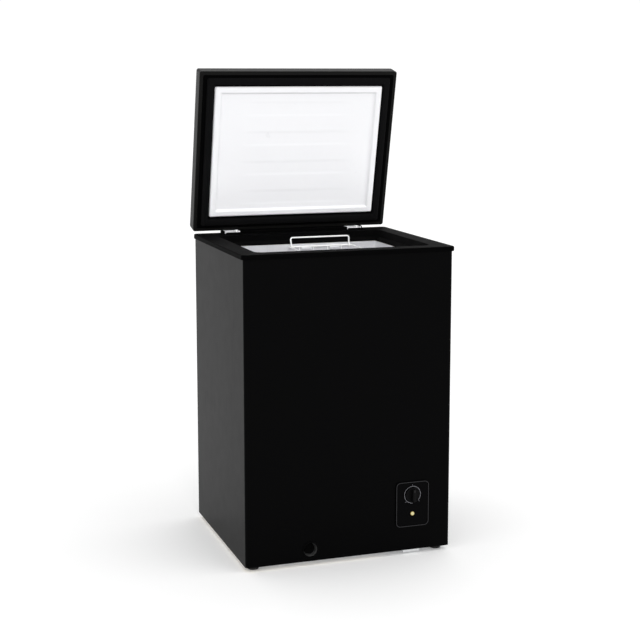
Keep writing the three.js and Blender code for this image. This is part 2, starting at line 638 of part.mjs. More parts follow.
// A level hoop of wire: its section carried round a rounded rectangle.
function hoop(inset, z, radius, corner, sides = 6) {
  const section = Array.from({ length: sides }, (_, i) => ((i + 0.5) / sides) * 2 * Math.PI);
  return loft(section.map((angle) => {
    const e = inset + radius * Math.cos(angle);
    const [x0, x1, y0, y1] = [BASKET.x0 + e, BASKET.x1 - e, BASKET.y0 + e, BASKET.y1 - e];
    return ring(x0, x1, y0, y1, corner - radius * Math.cos(angle), z + radius * Math.sin(angle));
  }), true);
}

const basketWires = [
  hoop(0, BASKET.rim, WIRE, 4.5),
  hoop(BASKET.taper / 2 + 0.4, (BASKET.rim + BASKET.bottom) / 2, THIN_WIRE, 12),
  hoop(BASKET.taper + 2.2, BASKET.bottom + 2.2, THIN_WIRE, 12),
];
for (const dx of [-60, -20, 20, 60]) {
  const x = midX + dx;
  basketWires.push(wire(eased([
    [x, BASKET.y1, BASKET.rim], [x, BASKET.y1 - BASKET.taper, BASKET.bottom],
    [x, BASKET.y0 + BASKET.taper, BASKET.bottom], [x, BASKET.y0, BASKET.rim],
  ], 10), THIN_WIRE));
}
for (const dy of [-105, -63, -21, 21, 63, 105]) {
  const y = midY + dy;
  basketWires.push(wire(eased([
    [BASKET.x0, y, BASKET.rim], [BASKET.x0 + BASKET.taper, y, BASKET.bottom],
    [BASKET.x1 - BASKET.taper, y, BASKET.bottom], [BASKET.x1, y, BASKET.rim],
  ], 10), THIN_WIRE));
}
piece('basket_frame', join(basketWires), WHITE_WIRE);

// Carrying handles: a loop with an eye at each end, turning on the rim's end wires.
const HANDLE = { half: 82, flare: 1.5, rise: 25, eye: 4.4, wire: 2 };
function handle() {
  const { half, flare, rise, eye } = HANDLE;
  const loop = wire(eased([
    [-half, 0, eye - 1], [-half - flare, 0, rise], [half + flare, 0, rise], [half, 0, eye - 1],
  ], 6, 3), HANDLE.wire);
  const eyes = [-half, half].map((x) =>
    new THREE.TorusGeometry(eye, 1.5, 6, 14).rotateY(Math.PI / 2).translate(x, 0, 0));
  return join([loop, ...eyes]);
}
const HANDLE_LEAN = { rear: 11, front: 166 }; // degrees back from upright, so the front one hangs down
for (const [name, y] of [['rear', BASKET.y1], ['front', BASKET.y0]]) {
  const grip = piece(`basket_handle_${name}`, handle(), WHITE_WIRE);
  grip.position.set(midX, y, BASKET.rim);
  grip.rotation.x = -THREE.MathUtils.degToRad(HANDLE_LEAN[name]);
}

// Clips on the liner that the rim's end wires rest on.
let clip = 0;
for (const s of [-1, 1]) {
  const wall = s > 0 ? CAVITY.y1 - GAP : CAVITY.y0 + GAP;
  for (const dx of [-40, 40]) {
    clip += 1;
    const [x0, x1] = [midX + dx - 14, midX + dx + 14];
    const top = BASKET.rim - WIRE - GAP;
    const outline = [[0, top], [11.5, top], [11.5, top - 3], [3, top - 12], [0, top - 12]]
      .map(([d, z]) => [wall - s * d, z]);
    if (s > 0) outline.reverse();
    piece(`basket_clip_${clip}`, alongX(outline, x0, x1), WHITE_PLASTIC);
  }
}

// ---------------------------------------------------------------- origin
// The whole object is centred over the origin, standing on the floor, with its lid open.
const bounds = new THREE.Box3().setFromObject(freezer, true);
const centre = bounds.getCenter(new THREE.Vector3());
freezer.position.set(-centre.x, -centre.y, -bounds.min.z);

export default group;
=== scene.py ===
"""Looks of the chest freezer: painted steel, moulded plastics, metal tub, coated wire and small details."""

import json
import math

import bmesh
import bpy
from mathutils import Matrix, Vector


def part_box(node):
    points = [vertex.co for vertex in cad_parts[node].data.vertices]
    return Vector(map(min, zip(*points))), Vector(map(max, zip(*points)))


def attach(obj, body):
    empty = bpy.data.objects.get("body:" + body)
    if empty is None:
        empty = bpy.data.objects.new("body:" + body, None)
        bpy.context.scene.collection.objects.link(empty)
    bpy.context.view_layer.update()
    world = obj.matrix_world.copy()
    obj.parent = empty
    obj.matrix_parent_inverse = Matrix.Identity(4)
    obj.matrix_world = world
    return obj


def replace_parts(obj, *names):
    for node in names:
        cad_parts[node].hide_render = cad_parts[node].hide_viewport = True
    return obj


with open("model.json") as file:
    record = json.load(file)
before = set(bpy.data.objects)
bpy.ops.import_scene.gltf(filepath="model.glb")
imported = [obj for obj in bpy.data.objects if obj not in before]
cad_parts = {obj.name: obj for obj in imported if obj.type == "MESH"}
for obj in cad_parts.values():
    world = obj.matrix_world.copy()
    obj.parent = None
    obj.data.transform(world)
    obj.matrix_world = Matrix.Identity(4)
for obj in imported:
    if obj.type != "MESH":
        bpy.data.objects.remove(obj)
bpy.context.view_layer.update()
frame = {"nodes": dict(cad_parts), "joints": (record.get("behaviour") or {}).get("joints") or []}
MM = 0.001
TAU = 2 * math.pi
FRONT, REAR = -238.0, 238.0  # the cabinet's front and rear faces, in mm from its middle
GAP = 0.3  # the gap that neighbouring pieces keep
SIDES = (("left", -1), ("right", 1))
SHIFT_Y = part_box("cabinet_wrap")[0].y - FRONT * MM
joints = {joint["name"]: joint for joint in frame["joints"]}
scene = bpy.context.scene


def place(x, y, z):
    """A point given in mm about the middle of the cabinet's footprint, in the frame."""
    return Vector((x * MM, y * MM + SHIFT_Y, z * MM))


# ------------------------------------------------------------------ materials


class Shader:
    """One Principled material whose inputs are fed by a few procedural layers in object space."""

    def __init__(self, name, colour, roughness, metallic=0.0, specular=0.5, coat=0.0):
        self.material = bpy.data.materials.new(name)
        self.material.use_nodes = True
        self.tree = self.material.node_tree
        self.surface = self.tree.nodes["Principled BSDF"]
        self.set("Metallic", metallic)
        self.set("Specular IOR Level", specular)
        self.set("Coat Weight", coat)
        self.set("Coat Roughness", 0.08)
        self.position = self.node("ShaderNodeTexCoord").outputs["Object"]
        self.colour = self.fixed_colour(colour)
        self.roughness = self.math("ADD", roughness, 0.0)
        self.height = None

    def set(self, socket, value):
        self.surface.inputs[socket].default_value = value

    def node(self, kind, **settings):
        made = self.tree.nodes.new(kind)
        for key, value in settings.items():
            setattr(made, key, value)
        return made

    def feed(self, socket, value):
        if isinstance(value, bpy.types.NodeSocket):
            self.tree.links.new(value, socket)
        else:
            socket.default_value = value

    def math(self, operation, a, b=0.0, c=0.0):
        made = self.node("ShaderNodeMath", operation=operation)
        for socket, value in zip(made.inputs, (a, b, c)):
            self.feed(socket, value)
        return made.outputs[0]

    def fixed_colour(self, colour):
        made = self.node("ShaderNodeRGB")
        made.outputs[0].default_value = (*colour, 1.0)
        return made.outputs[0]

    def mix(self, factor, a, b, blend="MIX"):
        made = self.node("ShaderNodeMix", data_type="RGBA", blend_type=blend)
        self.feed(made.inputs["Factor"], factor)
        self.feed(made.inputs["A"], a)
        self.feed(made.inputs["B"], b)
        return made.outputs["Result"]

    def stretched(self, scale):
        made = self.node("ShaderNodeMapping")
        self.feed(made.inputs["Vector"], self.position)
        made.inputs["Scale"].default_value = scale
        return made.outputs[0]

    def noise(self, scale, detail=3.0, vector=None, roughness=0.5):
        made = self.node("ShaderNodeTexNoise")
        self.feed(made.inputs["Vector"], vector or self.position)
        made.inputs["Scale"].default_value = scale
        made.inputs["Detail"].default_value = detail
        made.inputs["Roughness"].default_value = roughness
        return made.outputs["Fac"]

    def cells(self, scale, output="Color"):
        made = self.node("ShaderNodeTexVoronoi")
        self.feed(made.inputs["Vector"], self.position)
        made.inputs["Scale"].default_value = scale
        return made.outputs[output]

    def span(self, value, low, high, out_low=0.0, out_high=1.0):
        made = self.node("ShaderNodeMapRange", interpolation_type="SMOOTHSTEP")
        for socket, number in zip(made.inputs, (value, low, high, out_low, out_high)):
            self.feed(socket, number)
        return made.outputs[0]

    def shade(self, pattern, amount):
        """Makes the colour lighter and darker with the pattern."""
        tone = self.math("MULTIPLY_ADD", pattern, 2 * amount, 1.0 - amount)
        grey = self.node("ShaderNodeCombineColor")
        for socket in grey.inputs:
            self.feed(socket, tone)
        self.colour = self.mix(1.0, self.colour, grey.outputs[0], "MULTIPLY")
        return self

    def tint(self, pattern, colour, amount=1.0):
        self.colour = self.mix(self.math("MULTIPLY", pattern, amount), self.colour, (*colour, 1.0))
        return self

    def polish(self, pattern, amount):
        """Makes the surface rougher where the pattern is high and smoother where it is low."""
        self.roughness = self.math("MULTIPLY_ADD", pattern, 2 * amount,
                                   self.math("SUBTRACT", self.roughness, amount))
        return self

    def emboss(self, pattern, depth):
        """Adds relief, as a depth in mm."""
        relief = self.math("MULTIPLY", pattern, depth * MM)
        self.height = relief if self.height is None else self.math("ADD", self.height, relief)
        return self

    def done(self):
        self.feed(self.surface.inputs["Base Color"], self.colour)
        self.feed(self.surface.inputs["Roughness"], self.roughness)
        if self.height is not None:
            bump = self.node("ShaderNodeBump")
            bump.inputs["Distance"].default_value = 1.0
            self.feed(bump.inputs["Height"], self.height)
            self.feed(self.surface.inputs["Normal"], bump.outputs[0])
        return self.material


def painted_steel(name, colour, roughness, specular):
    """Baked enamel over sheet: fine orange peel, slow waves in the sheet, faint rubbed streaks."""
    s = Shader(name, colour, roughness, specular=specular)
    s.shade(s.noise(9, 2), 0.15)
    s.polish(s.noise(26, 4), 0.035)
    streaks = s.span(s.noise(60, 2, s.stretched((1.0, 1.0, 0.06))), 0.62, 0.75)
    s.polish(streaks, 0.012)
    s.tint(s.span(s.noise(340, 2), 0.75, 0.8), (0.02, 0.02, 0.022), 0.3)
    s.emboss(s.noise(900, 2), 0.012)
    s.emboss(s.noise(7, 1), 0.25)
    return s.done()


def moulded_plastic(name, colour, roughness, grain=0.03, specular=0.03):
    """Injection moulding: spark-eroded grain, slow sheen changes and a little fine dust."""
    s = Shader(name, colour, roughness, specular=specular)
    s.shade(s.noise(14, 3), 0.10)
    s.polish(s.noise(45, 4), 0.05)
    s.tint(s.span(s.noise(420, 2), 0.74, 0.8), (0.03, 0.03, 0.033), 0.25)
    s.emboss(s.cells(1500, "Distance"), grain)
    return s.done()


def white_sheet(name, colour, painted_shade=0.0):
    """Vacuum-formed white sheet: glossy, thick and thin places, almost no grain.
    The last argument is painted shade: how much darker the sheet is painted at the open lid's upper edge,
    and lighter at the lower one, standing in for how the light falls there."""
    s = Shader(name, colour, 0.30, specular=0.45, coat=0.15)
    s.shade(s.noise(6, 2), 0.012)
    # Painted shade: darker towards the open lid's upper edge and lighter towards its lower edge, to even out
    # the light on the panel; the sheet itself has no such gradient.
    if painted_shade:
        upper_edge, lower_edge = 1.22, 0.82  # heights of the open panel's edges, in metres
        axes = s.node("ShaderNodeSeparateXYZ")
        s.feed(axes.inputs[0], s.position)
        s.shade(s.span(axes.outputs["Z"], upper_edge, lower_edge), painted_shade)
    s.polish(s.noise(30, 3), 0.06)
    s.tint(s.noise(4, 2), (0.86, 0.87, 0.93), 0.18)
    s.emboss(s.noise(40, 2), 0.05)
    s.emboss(s.noise(1100, 2), 0.004)
    return s.done()


def rolled_metal(name, colour, roughness, along, depth=0.006, metallic=1.0):
    """Rolled or drawn metal: long fine lines along one direction and cloudy reflections."""
    s = Shader(name, colour, roughness, metallic=metallic)
    lines = s.noise(260, 4, s.stretched(along), 0.65)
    s.shade(lines, 0.10)
    s.shade(s.noise(8, 3), 0.07)
    s.polish(lines, 0.08)
    s.polish(s.noise(18, 3), 0.05)
    s.emboss(lines, depth)
    return s.done()


def spangled_zinc(name, colour, roughness, size, metallic=0.85):
    """Zinc coating: crystal flakes of differing brightness, dull spots and fine pits."""
    s = Shader(name, colour, roughness, metallic=metallic)
    flakes = s.node("ShaderNodeRGBToBW")
    s.feed(flakes.inputs[0], s.cells(size))
    s.shade(flakes.outputs[0], 0.05)
    s.polish(flakes.outputs[0], 0.06)
    s.tint(s.span(s.noise(70, 4), 0.60, 0.72), (0.60, 0.60, 0.60), 0.3)
    s.emboss(s.noise(900, 3), 0.008)
    return s.done()


def soft_rubber(name):
    s = Shader(name, (0.004, 0.004, 0.0043), 0.75, specular=0.035)
    s.shade(s.noise(30, 3), 0.2)
    s.polish(s.noise(80, 4), 0.08)
    s.tint(s.span(s.noise(500, 3), 0.66, 0.8), (0.03, 0.03, 0.03), 0.3)
    s.emboss(s.noise(1400, 3), 0.02)
    return s.done()


def coated_wire(name):
    """Dipped white coating: glossy, with small runs and thickenings."""
    s = Shader(name, (0.95, 0.95, 0.945), 0.26, specular=0.5, coat=0.3)
    s.shade(s.noise(25, 3), 0.03)
    s.polish(s.noise(60, 3), 0.08)
    s.tint(s.span(s.noise(130, 3), 0.66, 0.74), (0.72, 0.70, 0.64), 0.25)
    s.emboss(s.noise(220, 2), 0.10)
    return s.done()


def cut_foam(name):
    s = Shader(name, (0.80, 0.68, 0.42), 0.92, specular=0.2)
    s.shade(s.noise(60, 4), 0.16)
    s.tint(s.noise(15, 3), (0.66, 0.50, 0.26), 0.35)
    s.emboss(s.cells(650, "Distance"), 0.6)
    return s.done()


def copper_tube(name):
    s = Shader(name, (0.86, 0.43, 0.27), 0.28, metallic=1.0)
    s.shade(s.noise(40, 4), 0.2)
    s.tint(s.span(s.noise(55, 4), 0.5, 0.66), (0.30, 0.14, 0.08), 0.6)
    s.polish(s.noise(90, 4), 0.14)
    s.emboss(s.noise(500, 2), 0.02)
    return s.done()


def lamp_plastic(name, centre, rim):
    """Amber lens: cream where the lamp sits behind it, amber towards its edge.
    rim is the lens's radius, in metres."""
    s = Shader(name, (0.72, 0.68, 0.42), 0.18, specular=0.4, coat=0.2)
    offset = s.node("ShaderNodeVectorMath", operation="DISTANCE")
    flat = s.node("ShaderNodeMapping")
    s.feed(flat.inputs["Vector"], s.position)
    flat.inputs["Scale"].default_value = (1.0, 0.0, 1.0)
    s.feed(offset.inputs[0], flat.outputs[0])
    offset.inputs[1].default_value = (centre.x, 0.0, centre.z)
    edge = s.span(offset.outputs["Value"], 0.55 * rim, 0.95 * rim)
    s.colour = s.mix(edge, (0.70, 0.64, 0.34, 1.0), (0.30, 0.20, 0.02, 1.0))
    s.shade(s.noise(300, 2), 0.06)
    s.polish(s.noise(200, 3), 0.05)
    s.emboss(s.cells(900, "Distance"), 0.05)
    s.feed(s.surface.inputs["Emission Color"], s.colour)
    s.set("Emission Strength", 0.05)
    return s.done()


def printed_ink(name, colour):
    s = Shader(name, colour, 0.45, specular=0.3)
    s.shade(s.noise(700, 3), 0.15)
    s.polish(s.noise(300, 2), 0.08)
    s.emboss(s.noise(2500, 2), 0.004)
    return s.done()


ENAMEL = painted_steel("black_enamel", (0.0006, 0.0006, 0.0007), 0.36, 0.031)
LID_ENAMEL = painted_steel("lid_enamel", (0.006, 0.006, 0.0058), 0.4, 0.06)
COLLAR_PLASTIC = moulded_plastic("collar_plastic", (0.001, 0.001, 0.0011), 0.6, specular=0.011)
BREAKER_PLASTIC = moulded_plastic("breaker_plastic", (0.0018, 0.0018, 0.0018), 0.65, specular=0.016)
PANEL_PLASTIC = moulded_plastic("panel_plastic", (0.002, 0.002, 0.0022), 0.5, 0.02, 0.02)
CUP_PLASTIC = moulded_plastic("drain_cup_plastic", (0.07, 0.07, 0.07), 0.45, 0.02, 0.25)
KNOB_PLASTIC = moulded_plastic("knob_plastic", (0.003, 0.003, 0.0032), 0.42, 0.015, 0.06)
FOOT_PLASTIC = moulded_plastic("foot_plastic", (0.03, 0.03, 0.03), 0.6, 0.05)
VENT_PLASTIC = moulded_plastic("vent_plastic", (0.006, 0.006, 0.006), 0.5, 0.05, 0.1)
# 0.055 is painted shade on the lid panel: darker at the open lid's upper edge, lighter at its lower edge.
LID_WHITE = white_sheet("lid_white", (0.915, 0.915, 0.93), 0.055)
CLIP_WHITE = white_sheet("clip_white", (0.86, 0.86, 0.88))
TUB_METAL = rolled_metal("tub_aluminium", (0.77, 0.77, 0.79), 0.36, (1.0, 1.0, 0.03), 0.006, 0.45)
HINGE_ZINC = spangled_zinc("hinge_zinc", (0.96, 0.96, 0.985), 0.45, 420, 0.15)
GALVANISED = spangled_zinc("galvanised", (0.74, 0.75, 0.76), 0.42, 90, 0.6)
SPRING_STEEL = rolled_metal("spring_steel", (0.62, 0.63, 0.66), 0.24, (0.4, 1.0, 1.0))
SCREW_STEEL = rolled_metal("screw_steel", (0.70, 0.71, 0.73), 0.30, (1.0, 0.3, 1.0))
RUBBER = soft_rubber("black_rubber")
WIRE_WHITE = coated_wire("white_coated_wire")
FOAM = cut_foam("foam")
COPPER = copper_tube("copper")
INK = printed_ink("panel_print", (0.22, 0.22, 0.24))
BORDER_INK = printed_ink("panel_border", (0.022, 0.022, 0.024))

CAD_FINISH = {
    ENAMEL: ["cabinet_wrap", "rear_panel", "compressor"],
    LID_ENAMEL: ["lid_shell"],
    COLLAR_PLASTIC: ["top_collar", "hinge_rail_cover", "hinge_cap_left", "hinge_cap_right"],
    BREAKER_PLASTIC: ["breaker_frame"],
    PANEL_PLASTIC: ["control_bezel", "relay_box"],
    VENT_PLASTIC: ["rear_vent_cover"],
    CLIP_WHITE: ["lamp_holder", "drain_tube"] + [f"basket_clip_{i}" for i in range(1, 5)],
    TUB_METAL: ["inner_liner"],
    HINGE_ZINC: [f"hinge_{part}_{side}" for part in ("bracket", "pin", "arm") for side, sign in SIDES],
    GALVANISED: ["base_panel", "bay_partition", "compressor_base_plate", "thermostat_body"],
    RUBBER: ["drain_plug", "cord_gland"] + [f"compressor_mount_{i}" for i in range(1, 5)],
    FOAM: ["foam_body", "lid_foam"],
    COPPER: ["filter_drier", "discharge_tube", "suction_tube"],
}
PLAIN_EDGE = 0.3  # radius of every CAD edge that EDGE_RADIUS doesn't name, in mm
EDGE_RADIUS = {
    "cabinet_wrap": 0.25, "rear_panel": 0.25, "lid_shell": 0.4, "top_collar": 0.7, "breaker_frame": 0.4,
    "hinge_rail_cover": 0.5, "hinge_cap_left": 0.5, "hinge_cap_right": 0.5, "control_bezel": 0.35,
    "rear_vent_cover": 0.6, "inner_liner": 0.3, "base_panel": 0.3, "compressor_base_plate": 0.4,
}


def soften(piece, radius):
    """Rounds a CAD node's sharp edges and shades its curves smoothly, with modifiers only."""
    weld = piece.modifiers.new("weld", "WELD")
    weld.merge_threshold = 0.01 * MM
    bevel = piece.modifiers.new("edge", "BEVEL")
    bevel.width = radius * MM
    bevel.segments = 2
    bevel.limit_method = "ANGLE"
    bevel.angle_limit = math.radians(38)
    bevel.harden_normals = True
    piece.modifiers.new("normals", "WEIGHTED_NORMAL").keep_sharp = True


for finish, names in CAD_FINISH.items():
    for name in names:
        node = frame["nodes"][name]
        node.data.materials.clear()
        node.data.materials.append(finish)
        bpy.context.view_layer.objects.active = node
        if node.data.has_custom_normals:
            bpy.ops.mesh.customdata_custom_splitnormals_clear()
        for polygon in node.data.polygons:
            polygon.use_smooth = True
        soften(node, EDGE_RADIUS.get(name, PLAIN_EDGE))


# ------------------------------------------------------------------ mesh building


def add_piece(name, build, material, body, smooth_angle=35):
    """Makes an object from a bmesh, shades it, and lets it ride on a body."""
    mesh = bpy.data.meshes.new(name)
    bmesh.ops.remove_doubles(build, verts=build.verts, dist=0.002 * MM)
    bmesh.ops.recalc_face_normals(build, faces=build.faces)
    build.to_mesh(mesh)
    build.free()
    piece = bpy.data.objects.new(name, mesh)
    scene.collection.objects.link(piece)
    mesh.materials.append(material)
    mesh.shade_smooth()
    mesh.set_sharp_from_angle(angle=math.radians(smooth_angle))
    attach(piece, body)
    return piece


def bridge(build, rings, closed=False):
    """Faces between runs of points; each run is a closed loop of equal length."""
    loops = [[build.verts.new(p) for p in ring] for ring in rings]
    pairs = list(zip(loops, loops[1:])) + ([(loops[-1], loops[0])] if closed else [])
    for low, high in pairs:
        for i in range(len(low)):
            j = (i + 1) % len(low)
            build.faces.new((low[i], low[j], high[j], high[i]))
    return loops


def turned(profile, centre, axis, segments=64, flutes=None):
    """A turned shape: profile of (radius, height) in mm about centre, height along axis.
    flutes is (count, depth, first height) and cuts hollows round the rim above that height."""
    build = bmesh.new()
    turn = Vector(axis).to_track_quat("Z", "Y").to_matrix()
    fluted_from = 0.6 * max(radius for radius, height in profile)
    count, depth, first_height = flutes or (0, 0.0, math.inf)
    rings = []
    for radius, height in profile:
        fluted = height > first_height and radius > fluted_from
        ring = []
        for i in range(segments):
            angle = TAU * i / segments
            hollow = depth * (0.5 + 0.5 * math.cos(count * angle)) if fluted else 0.0
            r = radius - hollow
            ring.append(centre + turn @ Vector((r * math.cos(angle), r * math.sin(angle), height)) * MM)
        rings.append(ring)
    bridge(build, rings)
    return build


def rounded_ring(x0, x1, y0, y1, radius, z, steps=8):
    """A rounded rectangle at height z, in mm about the cabinet's middle."""
    corners = [(x1 - radius, y0 + radius), (x1 - radius, y1 - radius),
               (x0 + radius, y1 - radius), (x0 + radius, y0 + radius)]
    ring = []
    for k, (cx, cy) in enumerate(corners):
        for i in range(steps + 1):
            angle = (k - 1 + i / steps) * TAU / 4
            ring.append(place(cx + radius * math.cos(angle), cy + radius * math.sin(angle), z))
    return ring


def front_ring(centre, half_x, half_z, radius, out, steps=5):
    """A rounded rectangle that faces forward, out mm in front of its centre."""
    flat = rounded_ring(-half_x, half_x, -half_z, half_z, radius, 0.0, steps)
    return [centre + Vector((p.x, -out * MM, p.y - SHIFT_Y)) for p in flat]


def wire_piece(name, runs, radius, material, body, cyclic=False, sides=5):
    """Round wire along one or more smooth runs of points in the frame."""
    curve = bpy.data.curves.new(name, "CURVE")
    curve.dimensions = "3D"
    curve.bevel_depth = radius * MM
    curve.bevel_resolution = sides
    curve.use_fill_caps = True
    for points in runs:
        spline = curve.splines.new("POLY")
        spline.points.add(len(points) - 1)
        for target, point in zip(spline.points, points):
            target.co = (*point, 1.0)
        spline.use_cyclic_u = cyclic
        spline.use_smooth = True
    source = bpy.data.objects.new(name + "_path", curve)
    scene.collection.objects.link(source)
    mesh = bpy.data.meshes.new_from_object(source.evaluated_get(bpy.context.evaluated_depsgraph_get()))
    bpy.data.objects.remove(source)
    mesh.name = name
    mesh.materials.clear()
    mesh.materials.append(material)
    mesh.shade_smooth()
    piece = bpy.data.objects.new(name, mesh)
    scene.collection.objects.link(piece)
    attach(piece, body)
    return piece


def rounded_path(points, radius, steps=6, cyclic=False):
    """Replaces each corner of a run of points with a curve that starts and ends radius mm from it."""
    count = len(points)
    path = []
    for k, point in enumerate(points):
        if not cyclic and k in (0, count - 1):
            path.append(point)
            continue
        back = (points[k - 1] - point).normalized()
        ahead = (points[(k + 1) % count] - point).normalized()
        start, end = point + back * radius * MM, point + ahead * radius * MM
        for i in range(steps + 1):
            t = i / steps
            path.append(start * (1 - t) ** 2 + point * 2 * t * (1 - t) + end * t ** 2)
    return path


# ------------------------------------------------------------------ lid

# The shut lid: half its width, its front and rear edges, and the height of its rim.
LID = {"x": 276.0, "front": -237.0, "rear": 203.5, "rim": 800.0}
hinge = joints["lid_hinge"]
PIN = Vector(hinge["pos_m"])
SWING = math.radians(hinge["range_deg"][0])
OPEN = Matrix.Translation(PIN) @ Matrix.Rotation(SWING, 4, "X") @ Matrix.Translation(-PIN)


def lid_ring(side, front, rear, radius, drop, steps=8):
    """A ring inset from the lid's edges, drop mm under its rim, turned open."""
    ring = rounded_ring(-LID["x"] + side, LID["x"] - side, LID["front"] + front, LID["rear"] - rear,
                        radius, LID["rim"] - drop, steps)
    return [OPEN @ point for point in ring]


WHITE_INSET = {"side": 42.0, "front": 40.5, "rear": 42.4}  # the white panel's edge, in from the lid's
WHITE_CORNER = 3.5
WHITE_THICKNESS = 1.2
# The raised border of the white panel: distance in from the panel's edge, depth under the lid's rim.
BORDER = [
    (-1.2, 0.0), (0.0, 3.6), (1.2, 6.6), (3.4, 7.7),
    (13.6, 7.8), (15.6, 7.2), (18.0, 3.6), (20.0, 2.6),
]
PADS = [-136.0, -54.5, 27.5, 109.5]  # middles of the shallow cross recesses, front to back
PAD = {"half": 17.5, "soft": 9.0, "length": 140.0, "fade": 60.0, "depth": 0.55}
# The panel's grid of points: how far it runs past the edge, where it is fine, and its steps.
GRID = {"margin": 10.0, "fine_band": 34.0, "fine": 0.9, "coarse_x": 8.0, "coarse_y": 6.0, "pad_band": 2.0}


def smooth_step(t):
    t = min(max(t, 0.0), 1.0)
    return t * t * (3 - 2 * t)


def corner_distance(x, y, radius):
    """Distance in from the white panel's outline, which has rounded corners."""
    half_x = LID["x"] - WHITE_INSET["side"]
    y0, y1 = LID["front"] + WHITE_INSET["front"], LID["rear"] - WHITE_INSET["rear"]
    half_y, middle = (y1 - y0) / 2, (y0 + y1) / 2
    dx = abs(x) - half_x + radius
    dy = abs(y - middle) - half_y + radius
    outside = math.hypot(max(dx, 0.0), max(dy, 0.0)) + min(max(dx, dy), 0.0)
    return radius - outside


def panel_drop(x, y):
    """How far the white panel's face stands under the lid's rim."""
    inset = corner_distance(x, y, WHITE_CORNER)
    if inset <= BORDER[0][0]:
        return 0.0
    for (a, low), (b, high) in zip(BORDER, BORDER[1:]):
        if inset < b:
            return low + (high - low) * smooth_step((inset - a) / (b - a))
    drop = BORDER[-1][1]
    along = smooth_step((PAD["length"] + PAD["fade"] / 2 - abs(x)) / PAD["fade"])
    for middle in PADS:
        across = smooth_step((PAD["half"] + PAD["soft"] / 2 - abs(y - middle)) / PAD["soft"])
        drop -= PAD["depth"] * along * across
    return drop


def grid_lines(low, high, coarse, extra=()):
    """Positions across the panel: fine near both edges and round the extra places, coarse between."""
    lines = {low, high}
    position = low
    while position < high:
        near = min(position - low, high - position) < GRID["fine_band"]
        near = near or any(abs(position - spot) < PAD["soft"] + GRID["pad_band"] for spot in extra)
        position += GRID["fine"] if near else coarse
        lines.add(round(min(position, high), 4))
    return sorted(lines)


def build_lid_panel():
    """White inner panel of the lid: one sheet with its border and cross recesses pressed in."""
    x_edge = LID["x"] - WHITE_INSET["side"] + GRID["margin"]
    y_low = LID["front"] + WHITE_INSET["front"] - GRID["margin"]
    y_high = LID["rear"] - WHITE_INSET["rear"] + GRID["margin"]
    pad_edges = [middle + side * PAD["half"] for middle in PADS for side in (-1, 1)]
    xs = grid_lines(-x_edge, x_edge, GRID["coarse_x"])
    ys = grid_lines(y_low, y_high, GRID["coarse_y"], pad_edges)
    build = bmesh.new()
    rows = [[build.verts.new(OPEN @ place(x, y, LID["rim"] - panel_drop(x, y))) for x in xs] for y in ys]
    for low, high in zip(rows, rows[1:]):
        for i in range(len(xs) - 1):
            build.faces.new((low[i], low[i + 1], high[i + 1], high[i]))
    piece = add_piece("lid_panel", build, LID_WHITE, "lid", 60)
    shell = piece.modifiers.new("thickness", "SOLIDIFY")
    shell.thickness = WHITE_THICKNESS * MM
    inward = OPEN.to_3x3() @ Vector((0, 0, 1))
    shell.offset = -1.0 if piece.data.polygons[0].normal.dot(inward) < 0 else 1.0
    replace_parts(piece, "lid_liner")


# Section of the black flange: distance in from the lid's edge, depth under its rim.
FLANGE = [(9.6, 0.35), (33.0, 0.1), (41.2, 0.1), (41.2, 1.9), (38.0, 2.2), (10.4, 2.2), (9.6, 1.5)]
FLANGE_CORNER = 4.5


def build_lid_rim():
    """Black flange on the lid's rim, from the steel pan's turned edge in to the white panel."""
    build = bmesh.new()
    bridge(build, [lid_ring(e, e, e, FLANGE_CORNER, drop) for e, drop in FLANGE], closed=True)
    add_piece("lid_rim_flange", build, COLLAR_PLASTIC, "lid")


GASKET_INSET = {"side": 20.0, "front": 16.5, "rear": 16.1}  # the gasket's outer edge, in from the lid's
GASKET_CORNER = {"outer": 6, "inner": 3, "shrink": 0.15}  # the corner radius shrinks inwards
GASKET_TOP = 1.98  # depth under the lid's rim that the section's depths start from
GASKET_SQUEEZE = 0.76  # share of the section's depths that is kept, so that it clears the collar when shut
# Section of the gasket: distance in from its outer edge, and depth.
GASKET = [
    (0.0, 0.35), (0.0, 2.2), (2.6, 3.0), (3.0, 4.0), (1.9, 5.2), (1.8, 6.6), (2.4, 7.8), (3.8, 8.5),
    (9.0, 8.6), (14.6, 8.4), (16.6, 7.6), (17.4, 6.2), (17.2, 4.4), (18.2, 3.2), (20.2, 2.2), (20.2, 0.35),
]


def build_gasket():
    """Rubber bellows with a flat foot on the flange and a rounded lip towards the collar."""
    build = bmesh.new()
    side, front, rear = (GASKET_INSET[key] for key in ("side", "front", "rear"))
    rings = []
    for e, drop in GASKET:
        corner = max(GASKET_CORNER["outer"] - e * GASKET_CORNER["shrink"], GASKET_CORNER["inner"])
        level = GASKET_TOP + drop * GASKET_SQUEEZE
        rings.append(lid_ring(side + e, front + e, rear + e, corner, level, 6))
    bridge(build, rings, closed=True)
    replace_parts(add_piece("door_gasket", build, RUBBER, "lid", 50), "lid_gasket")


build_lid_panel()
build_lid_rim()
build_gasket()


# ------------------------------------------------------------------ hinges

HINGE_X = 174.8  # middle of each hinge, from the cabinet's middle
SPRING = {"length": 17.0, "turns": 6, "steps_per_turn": 24, "radius": 7.0, "wire": 1.2}


def build_spring(side, sign):
    """Torsion spring wound round the hinge pin."""
    steps = SPRING["turns"] * SPRING["steps_per_turn"]
    start = sign * HINGE_X - SPRING["length"] / 2
    pin_y, pin_z = (PIN.y - SHIFT_Y) / MM, PIN.z / MM
    points = []
    for i in range(steps + 1):
        angle = TAU * i / SPRING["steps_per_turn"]
        x = start + SPRING["length"] * i / steps
        y = pin_y + SPRING["radius"] * math.cos(angle)
        points.append(place(x, y, pin_z + SPRING["radius"] * math.sin(angle)))
    piece = wire_piece(f"torsion_spring_{side}", [points], SPRING["wire"], SPRING_STEEL, "cabinet",
                       sides=3)
    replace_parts(piece, f"hinge_spring_{side}")


CROSS = {"reach": 0.62, "half_width": 0.45, "height": 1.98}  # reach as a share of the head's radius


